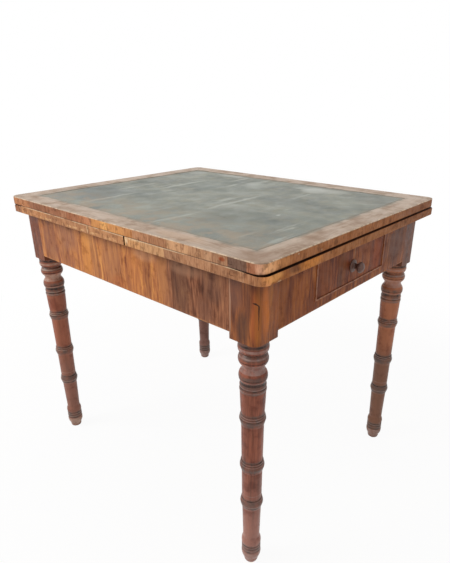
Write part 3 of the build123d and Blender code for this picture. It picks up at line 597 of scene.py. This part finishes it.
def legMaterial(name, look, marks):
    material, tree, place = newMaterial(name)
    x, y, z = addNode(tree, "ShaderNodeSeparateXYZ", None, {0: place}, None).outputs
    turned, height = woodFigure(tree, place, legLook)[:2]
    # a tone over the whole turning; on the back leg a dark one, painted shade for the shadow under the table
    if "tone" in marks:
        toneAndShadeCode, toneAndShadeShare = marks["tone"]
        turned = addNode(tree, "ShaderNodeMix", colours, {0: toneAndShadeShare, 6: turned, 7: toneAndShadeCode}, 2)
    # the shaft's tone changes towards the floor: partly fading, and on the near leg painted light from the floor
    fadeShadingTop, fadeShadingFoot, fadeShadingShare, fadeShadingCode = marks["fadeAndShading"]
    turned = stained(tree, turned, z, fadeShadingTop, fadeShadingFoot, fadeShadingShare, fadeShadingCode)
    mottle = addNode(tree, "ShaderNodeTexNoise", None, {
        "Vector": place, "Scale": 1 / 34, "Detail": 4.0, "Roughness": 0.6})
    turned = stained(tree, turned, mottle, 0.48, 0.66, 0.5, "#a87c6c", multiplied)
    wear = addNode(tree, "ShaderNodeTexNoise", None, {"Vector": place, "Scale": 1 / 12, "Detail": 3.0})
    # stained hollows and black cut lines, and painted highlights on the crests
    for key, soft, code, least, most in (
            ("stained", 2.4, "#5c4f49", 0.78, 0.38), ("lights", 0.6, marks["paintedShine"], 0.60, 0.30),
            ("cuts", 0.5, "#22130f", 0.85, 0.45)):
        marked = None
        for low, high in legTurning[key]:
            ring = between(tree, z, low, high, soft)
            marked = ring if marked is None else addNode(tree, "ShaderNodeMath", larger, {0: marked, 1: ring})
        turned = unevenly(tree, turned, marked, code, wear, 0.36, 0.62, least, most)
    block, _, blockBent = woodFigure(tree, place, look)
    block = patched(tree, blockBent, block, marks["patches"])
    grime = addNode(tree, "ShaderNodeTexNoise", None, {
        "Vector": place, "Scale": 1 / 24, "Detail": 4.0, "Roughness": 0.6})
    # painted shade: the top of the block darkened below the overhang, unevenly
    block = unevenly(tree, block, z, look["overhangShade"], grime, 0.35, 0.65, 0.2, 0.65, look["overhangShadeZ"])
    if "crack" in marks:
        # it runs down the rounded corner, narrowing as it goes, with a hooked head
        foot, hookZ, top, middle, reach = marks["crack"]
        around = addNode(tree, "ShaderNodeMath", plus, {0: x, 1: y})
        hook = addNode(tree, "ShaderNodeMapRange", smooth, {0: z, 1: hookZ, 2: top, 3: middle, 4: middle - reach})
        hook = addNode(tree, "ShaderNodeMath", timesPlus, {0: grime, 1: 5.0, 2: hook})
        away = addNode(tree, "ShaderNodeMath", minus, {0: around, 1: hook})
        away = addNode(tree, "ShaderNodeMath", unsigned, {0: away})
        width = addNode(tree, "ShaderNodeMapRange", smooth, {0: z, 1: foot, 2: hookZ, 3: 0.6, 4: 2.2})
        head = addNode(tree, "ShaderNodeMapRange", smooth, {0: z, 1: hookZ - 1, 2: top - 2, 3: 0.0, 4: 5.0})
        width = addNode(tree, "ShaderNodeMath", larger, {0: width, 1: head})
        away = addNode(tree, "ShaderNodeMath", {"operation": "DIVIDE"}, {0: away, 1: width})
        crack = addNode(tree, "ShaderNodeMapRange", smooth, {0: away, 1: 0.5, 2: 1.2, 3: 0.9, 4: 0.0})
        block = laid(tree, block, "#1d100b", crack, between(tree, z, foot, top, 0.5))
    low, high = legTurning["shoulder"]
    above = addNode(tree, "ShaderNodeMapRange", smooth, {0: z, 1: low, 2: high})
    colour = addNode(tree, "ShaderNodeMix", colours, {0: above, 6: turned, 7: block}, 2)
    finished(tree, colour, height, wear, legLook)
    return material


blockLook = {**veneerLook, "seed": 29, "stops": [
    (0.34, "#3c1a0f"), (0.43, "#61331d"), (0.50, "#7e4727"), (0.57, "#9a592b"), (0.67, "#b87232")]}
nearMarks = {
    # fade of the shaft, with painted light from the floor: from, to, strength, colour
    "fadeAndShading": (330, 10, 0.62, "#ab8074"), "paintedShine": "#a68b83", "patches": [
        ((400, -326, 632), (9, 12, 66), "#b05c30", 0.60),
        ((405, -318, 630), (12, 9, 70), "#b06828", 0.50),
        ((386, -327, 650), (8, 14, 60), "#5a3222", 0.55),
        ((374, -327, 604), (17, 14, 40), "#472c20", 0.65),
        ((356, -327, 668), (20, 14, 46), "#70493a", 0.60),
        ((343, -327, 636), (2.6, 8, 90), "#b48a6e", 0.60),
        ((405, -300, 640), (12, 13, 70), "#c86e24", 0.65),
        ((405, -285, 670), (12, 7, 36), "#b8702c", 0.45),
        ((405, -271, 640), (12, 9, 80), "#96501f", 0.65),
    ],
    "crack": (604, 650, 657.2, 82.7, 11.0),   # foot, where it hooks, head, place on x + y, reach of the hook
}
# the back leg: its dark tone is painted shade, for the shadow under the table
plainMarks = {"tone": ("#3c221a", 0.60), "fadeAndShading": (330, 10, 0.62, "#8a6a60"), "paintedShine": "#a68b83", "patches": []}
leftMarks = {**plainMarks, "tone": ("#b06c50", 0.42), "fadeAndShading": (330, 190, 0.50, "#7f6359"), "paintedShine": "#bfa391"}
# the right leg's shaft is darker towards the floor
rightMarks = {**plainMarks, "tone": ("#b4734f", 0.62), "fadeAndShading": (345, 262, 0.62, "#5a4a40")}
shadedBlock = {**blockLook, "stops": [
    (0.34, "#321305"), (0.43, "#4c230f"), (0.50, "#603017"), (0.57, "#733f20"), (0.67, "#8b532f")]}
leftBlock = {**blockLook, "stops": [
    (0.34, "#461d0a"), (0.43, "#612d14"), (0.50, "#73391c"), (0.57, "#844726"), (0.67, "#9a5c34")]}
legFinishes = {
    "leg_front_right": legMaterial("turned mahogany, near leg", blockLook, nearMarks),
    "leg_front_left": legMaterial("turned mahogany, left leg", leftBlock, leftMarks),
    "leg_back_right": legMaterial("turned mahogany, right leg", shadedBlock, rightMarks),
    "leg_back_left": legMaterial("turned mahogany, back leg", shadedBlock, plainMarks),
}
print("leg finishes made")


# Writing leather, dyed green and glued down: faded to slate grey, scuffed pale in strokes from
# front to back, rubbed brown along the front and at the near corner, a dull sheen over it all
hideLook = {
    "bump": 0.45, "bumpHeight": 0.0005, "specular": 0.42, "rough": (0.40, 0.58), "ior": 1.48,
    "frontY": (-110.0, -294.0),                         # rubbed brown from here to the front
    "rimX": (362.0, 378.0), "rimY": (278.0, 294.0),     # and along the border
}
# what use has left on it: x and y of the middle, half the length, half the width, colour, strength
hidePatches = [((x, y, 740), (long, wide, 30), code, strength) for x, y, long, wide, code, strength in (
    (180, -115, 120, 90, "#5d635c", 0.45),
    (-100, 120, 150, 110, "#5f6a66", 0.35),
    (340, 230, 60, 70, "#66665f", 0.45),
    (320, -262, 60, 44, "#857c6b", 0.50),
    (352, -190, 34, 60, "#697069", 0.45),
    (-290, -150, 110, 80, "#535b5a", 0.60),
    (-180, -90, 90, 60, "#5b6361", 0.45),
    (-235, -220, 74, 44, "#515a5b", 0.55),
    (170, 66, 100, 60, "#5f6663", 0.35),
    (-330, -250, 60, 60, "#84796c", 0.40),
    (-210, -185, 7, 105, "#a9aaa0", 0.60),
    (-206, 60, 9, 105, "#aeb0a6", 0.60),
    (78, -20, 8, 115, "#b0b1a8", 0.55),
    (-18, 184, 44, 44, "#a4a69d", 0.45),
    (147, 236, 40, 44, "#bcbdb4", 0.62),
    (116, 250, 44, 30, "#b2b4ac", 0.55),
    (196, 252, 50, 30, "#b0aea4", 0.50),
    (-50, 212, 30, 30, "#b0b2aa", 0.50),
    (-200, 274, 56, 22, "#b6b6ae", 0.55),
    (-330, 252, 36, 40, "#a4a59d", 0.45),
    (-235, 298, 70, 16, "#aaa9a0", 0.50),
    (246, -59, 3, 9, "#b9bab0", 0.55),
    (170, -152, 34, 1.8, "#57554c", 0.60),
    (112, -205, 8, 9, "#76604f", 0.45),
)]
hideMaterial, tree, place = newMaterial("green writing leather, glued down and scuffed")
x, y = addNode(tree, "ShaderNodeSeparateXYZ", None, {0: place}, None).outputs[:2]
cloud = addNode(tree, "ShaderNodeTexNoise", None, {"Vector": place, "Scale": 1 / 130, "Detail": 5.0, "Roughness": 0.6})
colour = addNode(tree, "ShaderNodeValToRGB", {"stops": [
    (0.30, "#595e57"), (0.44, "#70746b"), (0.56, "#7f8277"), (0.70, "#94958a")]}, {"Fac": cloud})
olive = addNode(tree, "ShaderNodeTexNoise", None, {
    "Vector": place, "Scale": 1 / 36, "Detail": 5.0, "Roughness": 0.65}, "Color")
mottle = addNode(tree, "ShaderNodeSeparateColor", None, {0: olive}, 1)
colour = stained(tree, colour, mottle, 0.44, 0.66, 0.55, "#87836f")
drift = addNode(tree, "ShaderNodeVectorMath", timesPlus, {0: olive, 1: (26.0, 26.0, 0.0), 2: place})
drift = addNode(tree, "ShaderNodeVectorMath", minus, {0: drift, 1: (13.0, 13.0, 0.0)})
colour = patched(tree, drift, colour, hidePatches)
stroke = addNode(tree, "ShaderNodeMapping", None, {
    "Vector": place, "Rotation": (0.0, 0.0, math.radians(-8)), "Scale": (1 / 20, 1 / 130, 1 / 40)})
scuffs = addNode(tree, "ShaderNodeTexNoise", None, {"Vector": stroke, "Scale": 1.0, "Detail": 3.5, "Roughness": 0.6})
where = addNode(tree, "ShaderNodeTexNoise", None, {"Vector": place, "Scale": 1 / 170, "Detail": 2.0})
where = addNode(tree, "ShaderNodeMapRange", smooth, {0: where, 1: 0.42, 2: 0.60, 3: 0.15, 4: 1.0})
colour = unevenly(tree, colour, where, "#b4b5ab", scuffs, 0.55, 0.72, 0.0, 0.5)
rubbed = addNode(tree, "ShaderNodeTexNoise", None, {
    "Vector": place, "Scale": 1 / 44, "Detail": 5.0, "Roughness": 0.65})
colour = unevenly(tree, colour, y, "#9a8a76", rubbed, 0.42, 0.60, 0.0, 0.75, hideLook["frontY"])
rim = outward(tree, x, y, hideLook["rimX"], hideLook["rimY"])
colour = unevenly(tree, colour, rim, "#8b7d6c", rubbed, 0.35, 0.65, 0.15, 0.8)
specks = addNode(tree, "ShaderNodeTexNoise", None, {"Vector": place, "Scale": 1 / 3, "Detail": 2.0})
colour = stained(tree, colour, specks, 0.66, 0.76, 0.45, "#45433c")
# the real pebble of the hide is under a millimetre, drawn at 1.6 mm so that it shows
pebble = addNode(tree, "ShaderNodeTexVoronoi", {"feature": "DISTANCE_TO_EDGE"}, {
    "Vector": place, "Scale": 1 / 1.6}, "Distance")
pebble = addNode(tree, "ShaderNodeMapRange", smooth, {0: pebble, 1: 0.0, 2: 0.25, 3: 0.0, 4: 0.35})
height = addNode(tree, "ShaderNodeMath", timesPlus, {0: scuffs, 1: 0.6, 2: pebble})
finished(tree, colour, height, rubbed, hideLook)

# The skin of leather itself: it lies in the border's recess, cockled by damp and thinned at its edge
hideShape = {   # in metres
    "step": 0.006, "cockle": 0.00030, "cockleLength": 0.11,
    "cockleSquash": 0.7, "cockleSeed": 2.7,   # plain numbers: cockles lie longer in y than in x
    "rimDip": 0.00055, "rimWidth": 0.009,
}
lowCorner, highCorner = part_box("leather_inset")
countX = round((highCorner[0] - lowCorner[0]) / hideShape["step"])
countY = round((highCorner[1] - lowCorner[1]) / hideShape["step"])
shape = bmesh.new()
rows = []
for j in range(countY + 1):
    row = []
    for i in range(countX + 1):
        px = lowCorner[0] + (highCorner[0] - lowCorner[0]) * i / countX
        py = lowCorner[1] + (highCorner[1] - lowCorner[1]) * j / countY
        inwards = min(px - lowCorner[0], highCorner[0] - px, py - lowCorner[1], highCorner[1] - py)
        ease = max(0.0, 1.0 - inwards / hideShape["rimWidth"]) ** 2
        spot = Vector((px, py * hideShape["cockleSquash"], hideShape["cockleSeed"]))
        wave = noise.noise(spot / hideShape["cockleLength"])
        drop = hideShape["cockle"] * (0.5 + 0.5 * wave) + hideShape["rimDip"] * ease
        row.append(shape.verts.new((px, py, highCorner[2] - drop)))
    rows.append(row)
for j in range(countY):
    for i in range(countX):
        shape.faces.new((rows[j][i], rows[j][i + 1], rows[j + 1][i + 1], rows[j + 1][i]))
loop = rows[0] + [row[-1] for row in rows[1:]] + rows[-1][-2::-1] + [row[0] for row in rows[-2:0:-1]]
below = [shape.verts.new((v.co.x, v.co.y, lowCorner[2])) for v in loop]
for k in range(len(loop)):
    follow = (k + 1) % len(loop)
    shape.faces.new((loop[k], below[k], below[follow], loop[follow]))
shape.faces.new(below[::-1])
bmesh.ops.recalc_face_normals(shape, faces=shape.faces)
hideMesh = bpy.data.meshes.new("leather skin")
shape.to_mesh(hideMesh)
shape.free()
for face in hideMesh.polygons:
    face.use_smooth = abs(face.normal.z) > 0.5 and len(face.vertices) == 4
hide = addObject("leather_skin", hideMesh)
hideMesh.materials.append(hideMaterial)
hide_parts("leather_inset")
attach(hide, "top")
print("leather laid")


# Dark hardwood knob, turned and polished: near black with red-brown where fingers rub it
knobLook = {
    "along": "X", "layers": [(14.0, 3.0, 0.45), (4.0, 10.0, 0.33), (1.2, 24.0, 0.22)], "wave": 3.0, "seed": 71,
    "stops": [(0.32, "#3a2721"), (0.50, "#604339"), (0.70, "#7f5c50")],
    "poreDepth": 0.2, "bump": 0.2, "specular": 0.35, "rough": (0.30, 0.42), "wearSpan": (0.0, 0.6),
}
knobMaterial, tree, place = newMaterial("dark hardwood, turned and polished")
colour, height = woodFigure(tree, place, knobLook)[:2]
finished(tree, colour, height, height, knobLook)

# Mahogany cock bead, planed round and waxed: its crown painted a little paler than the veneer, partly wear and partly
# a painted highlight
beadLook = {**endLook, "seed": 73, "rough": (0.40, 0.54), "crownShineX": (404.8, 406.4)}
beadMaterial, tree, place = newMaterial("mahogany cock bead, waxed")
x = addNode(tree, "ShaderNodeSeparateXYZ", None, {0: place})
colour, height = woodFigure(tree, place, beadLook)[:2]
rub = addNode(tree, "ShaderNodeTexNoise", None, {"Vector": place, "Scale": 1 / 9, "Detail": 3.0})
# painted highlight and wear: the crown of the bead made paler
colour = unevenly(tree, colour, x, "#b08672", rub, 0.35, 0.60, 0.15, 0.65, beadLook["crownShineX"])
finished(tree, colour, height, rub, beadLook)

# Iron screws, turned and filed: dull grey with brown rust, brightest where a driver has slipped
screwMaterial, tree, place = newMaterial("iron screw, filed and rusted")
rust = addNode(tree, "ShaderNodeTexNoise", None, {"Vector": place, "Scale": 1 / 2.4, "Detail": 4.0})
colour = addNode(tree, "ShaderNodeValToRGB", {
    "stops": [(0.35, "#8a8580"), (0.55, "#6f6760"), (0.72, "#6b4630")]}, {"Fac": rust})
bump = addNode(tree, "ShaderNodeBump", None, {"Height": rust, "Strength": 0.4, "Distance": 0.0003})
rough = addNode(tree, "ShaderNodeMapRange", smooth, {0: rust, 1: 0.3, 2: 0.7, 3: 0.35, 4: 0.7})
iron = addNode(tree, "ShaderNodeBsdfPrincipled", None, {
    "Base Color": colour, "Roughness": rough, "Normal": bump, "Metallic": 1.0})
addNode(tree, "ShaderNodeOutputMaterial", None, {"Surface": iron}, None)

# Slotted wood screws, set on their places by geometry nodes. Sizes in metres, drawn head down.
screwShape = {
    "Head radius": 0.0042, "Head height": 0.0030, "Slot width": 0.0009, "Slot depth": 0.0011,
    "Core radius": 0.0016, "Tip radius": 0.0006, "Plain length": 0.007,
    "Thread radius": 0.00034, "Thread end radius": 0.0008, "Thread share": 0.92, "Thread turns": 11, "Seed": 5,
}
screwGroups = {
    # node: body, share of the way along x for each row, share of the way along y
    "centre_board_screws": ("frame", [0.5], [0.0, 0.3256, 0.6744, 1.0]),
    "right_leaf_screws": ("right_leaf", [0.0, 0.4933, 1.0], [0.0, 1.0]),
    "left_leaf_screws": ("left_leaf", [0.0, 0.5067, 1.0], [0.0, 1.0]),
}
screwTree = bpy.data.node_groups.new("slotted wood screws", "GeometryNodeTree")
inputs = {"Geometry": "Geometry", "Length": "Float", "Finish": "Material"}
inputs.update({name: "Int" if isinstance(value, int) else "Float" for name, value in screwShape.items()})
for name, kind in inputs.items():
    screwTree.interface.new_socket(name, in_out="INPUT", socket_type="NodeSocket" + kind)
screwTree.interface.new_socket("Geometry", in_out="OUTPUT", socket_type="NodeSocketGeometry")
tree = screwTree
given = addNode(tree, "NodeGroupInput", out=None).outputs
# head: a low drum with the driver's slot cut across it
head = addNode(tree, "GeometryNodeMeshCone", None, {
    "Vertices": 40, "Radius Top": given["Head radius"], "Radius Bottom": given["Head radius"],
    "Depth": given["Head height"]}, "Mesh")
depth = addNode(tree, "ShaderNodeMath", times, {0: given["Slot depth"], 1: 2.0})
across = addNode(tree, "ShaderNodeMath", times, {0: given["Head radius"], 1: 3.0})
size = addNode(tree, "ShaderNodeCombineXYZ", None, {0: given["Slot width"], 1: across, 2: depth})
slot = addNode(tree, "GeometryNodeMeshCube", None, {"Size": size}, "Mesh")
head = addNode(tree, "GeometryNodeMeshBoolean", {"operation": "DIFFERENCE"}, {"Mesh 1": head, "Mesh 2": slot}, "Mesh")
# shank: plain below the head, then a core with its thread wound round it
plainEnd = addNode(tree, "ShaderNodeMath", plus, {0: given["Head height"], 1: given["Plain length"]})
threadLength = addNode(tree, "ShaderNodeMath", minus, {0: given["Length"], 1: plainEnd})
plainRadius = addNode(tree, "ShaderNodeMath", plus, {0: given["Core radius"], 1: given["Thread radius"]})
shank = addNode(tree, "GeometryNodeMeshCone", None, {
    "Vertices": 24, "Radius Top": plainRadius, "Radius Bottom": plainRadius, "Depth": plainEnd}, "Mesh")
core = addNode(tree, "GeometryNodeMeshCone", None, {
    "Vertices": 24, "Radius Top": given["Tip radius"], "Radius Bottom": given["Core radius"],
    "Depth": threadLength}, "Mesh")
lift = addNode(tree, "ShaderNodeCombineXYZ", None, {2: plainEnd})
core = addNode(tree, "GeometryNodeTransform", None, {"Geometry": core, "Translation": lift})
windLength = addNode(tree, "ShaderNodeMath", times, {0: threadLength, 1: given["Thread share"]})
wind = addNode(tree, "GeometryNodeCurveSpiral", None, {
    "Resolution": 18, "Rotations": given["Thread turns"], "Start Radius": given["Core radius"],
    "End Radius": given["Thread end radius"], "Height": windLength})
ridge = addNode(tree, "GeometryNodeCurvePrimitiveCircle", None, {"Resolution": 6, "Radius": given["Thread radius"]})
thread = addNode(tree, "GeometryNodeCurveToMesh", None, {"Curve": wind, "Profile Curve": ridge, "Fill Caps": True})
thread = addNode(tree, "GeometryNodeTransform", None, {"Geometry": thread, "Translation": lift})
screw = addNode(tree, "GeometryNodeJoinGeometry", out=None)
for part in (head, shank, core, thread):
    tree.links.new(part, screw.inputs[0])
# each slot was left at its own angle
turn = addNode(tree, "FunctionNodeRandomValue", {"data_type": "FLOAT"}, {2: 0.0, 3: math.pi, "Seed": given["Seed"]}, 1)
turn = addNode(tree, "ShaderNodeCombineXYZ", None, {2: turn})
places = addNode(tree, "GeometryNodeMeshToPoints", None, {"Mesh": given["Geometry"]})
placed = addNode(tree, "GeometryNodeInstanceOnPoints", None, {
    "Points": places, "Instance": screw.outputs[0], "Rotation": turn})
placed = addNode(tree, "GeometryNodeRealizeInstances", None, {"Geometry": placed})
placed = addNode(tree, "GeometryNodeSetMaterial", None, {"Geometry": placed, "Material": given["Finish"]})
addNode(tree, "NodeGroupOutput", None, {"Geometry": placed}, None)
screwSockets = {item.name: item.identifier for item in screwTree.interface.items_tree if item.in_out == "INPUT"}

for nodeName, (body, sharesX, sharesY) in screwGroups.items():
    low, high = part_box(nodeName)
    radius = screwShape["Head radius"]
    startX, startY = low[0] + radius, low[1] + radius
    runX, runY = high[0] - low[0] - 2 * radius, high[1] - low[1] - 2 * radius
    spots = [(startX + runX * shareX, startY + runY * shareY, low[2]) for shareX in sharesX for shareY in sharesY]
    spotMesh = bpy.data.meshes.new("screw places")
    spotMesh.from_pydata(spots, [], [])
    holder = addObject("screw places", spotMesh)
    modifier = holder.modifiers.new("screws", "NODES")
    modifier.node_group = screwTree
    for name, value in screwShape.items():
        modifier[screwSockets[name]] = value
    modifier[screwSockets["Length"]] = high[2] - low[2]
    modifier[screwSockets["Finish"]] = screwMaterial
    ready = bpy.data.meshes.new_from_object(holder.evaluated_get(bpy.context.evaluated_depsgraph_get()))
    holder.modifiers.clear()
    bpy.data.objects.remove(holder)
    screws = addObject("slotted_" + nodeName, ready)
    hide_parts(nodeName)
    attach(screws, body)
    print(nodeName, "set,", len(spots), "screws,", len(ready.polygons), "faces")


# Which finish each piece has. A piece not named here is raw oak with its grain along x.
oakAlong = {axis: oakMaterial(axis) for axis in "XYZ"}
finishes = dict(legFinishes)
for material, names in (
        (apronMaterial, "side_apron_front side_apron_back"),
        (leftEndMaterial, "end_apron_left"),
        (bearerMaterial, "right_bearer_front right_bearer_back left_bearer_front left_bearer_back"),
        (endMaterial, "drawer_end_lower_rail drawer_end_upper_rail drawer_end_panel_front drawer_end_panel_back"),
        (frontMaterial, "drawer_front"), (beadMaterial, "drawer_opening_beads"), (knobMaterial, "drawer_knob"),
        (topBoard, "top_core"), (topClamp, "top_clamp_left top_clamp_right"),
        (borderAlongX, "top_border_front top_border_back"), (borderAlongY, "top_border_left top_border_right"),
        (leafBoard, "right_leaf left_leaf"), (leafClamp, "right_leaf_clamp left_leaf_clamp centre_board"),
        (hideMaterial, "leather_inset"),
        (screwMaterial, "centre_board_screws right_leaf_screws left_leaf_screws"),
        (oakAlong["Y"], "middle_rail drawer_back drawer_bottom"),
        (oakAlong["Z"], "glue_blocks locating_pegs right_leaf_stops left_leaf_stops")):
    for name in names.split():
        finishes[name] = material
for name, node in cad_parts.items():
    node.data.materials.clear()
    node.data.materials.append(finishes.get(name, oakAlong["X"]))
print("finishes given to", len(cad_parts), "nodes")
